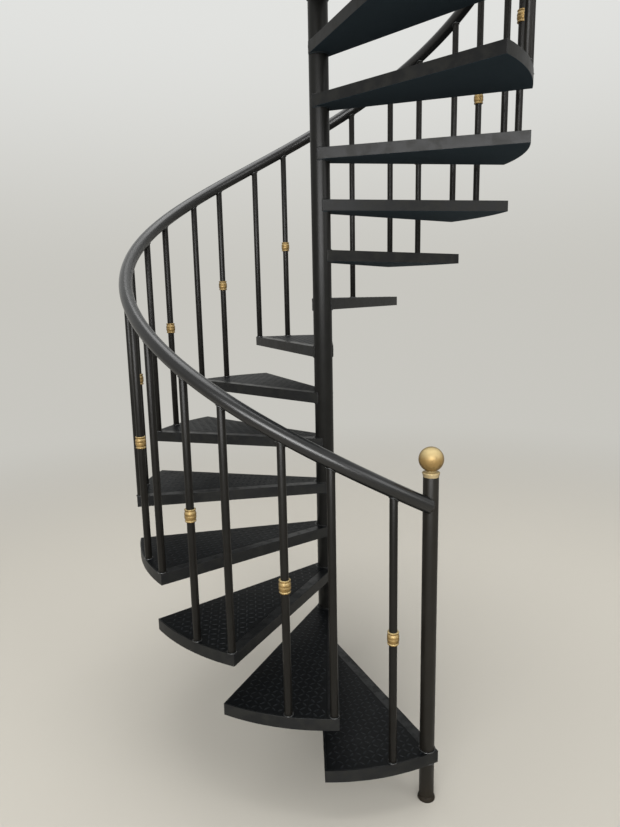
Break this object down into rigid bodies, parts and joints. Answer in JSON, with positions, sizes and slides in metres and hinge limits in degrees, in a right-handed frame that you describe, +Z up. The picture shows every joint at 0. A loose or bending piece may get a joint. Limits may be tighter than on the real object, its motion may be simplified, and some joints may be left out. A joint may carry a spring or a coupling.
{
  "type": "spiral staircase",
  "caption": "Welded steel spiral staircase with wedge treads round a column, round balusters, a helical tube handrail and ball-topped newel posts.",
  "frame": {"origin": "middle of the base plate's underside, on the floor, under the column's axis", "axes": "+Z up the column; the back edge of the landing, which bolts to the upper floor, points along -Y and its flange faces -X"},
  "size_m": [1.6538, 1.6559, 4.2436],
  "materials": {
    "black_paint": "gloss black paint",
    "plate_paint": "gloss black paint over a raised pattern",
    "gold": "polished gold colour"
  },
  "bodies": {
    "root": {"baluster_collars": "gold", "base_plate": "black_paint", "column": "black_paint", "column_cap": "black_paint", "front_balusters": "black_paint", "landing": "black_paint", "landing_flange": "black_paint", "lower_handrail": "black_paint", "lower_newel": "black_paint", "lower_newel_ball": "gold", "lower_newel_cup": "gold", "middle_balusters": "black_paint", "middle_handrail": "black_paint", "newel_foot_ring": "black_paint", "tread_01": "black_paint", "tread_02": "black_paint", "tread_03": "black_paint", "tread_04": "black_paint", "tread_05": "black_paint", "tread_06": "black_paint", "tread_07": "black_paint", "tread_08": "black_paint", "tread_09": "black_paint", "tread_10": "black_paint", "tread_11": "black_paint", "tread_12": "black_paint", "tread_13": "black_paint", "tread_14": "black_paint", "tread_plates": "plate_paint", "upper_handrail": "black_paint", "upper_newel": "black_paint", "upper_newel_ball": "gold", "upper_newel_cup": "gold"}
  },
  "joints": []
}
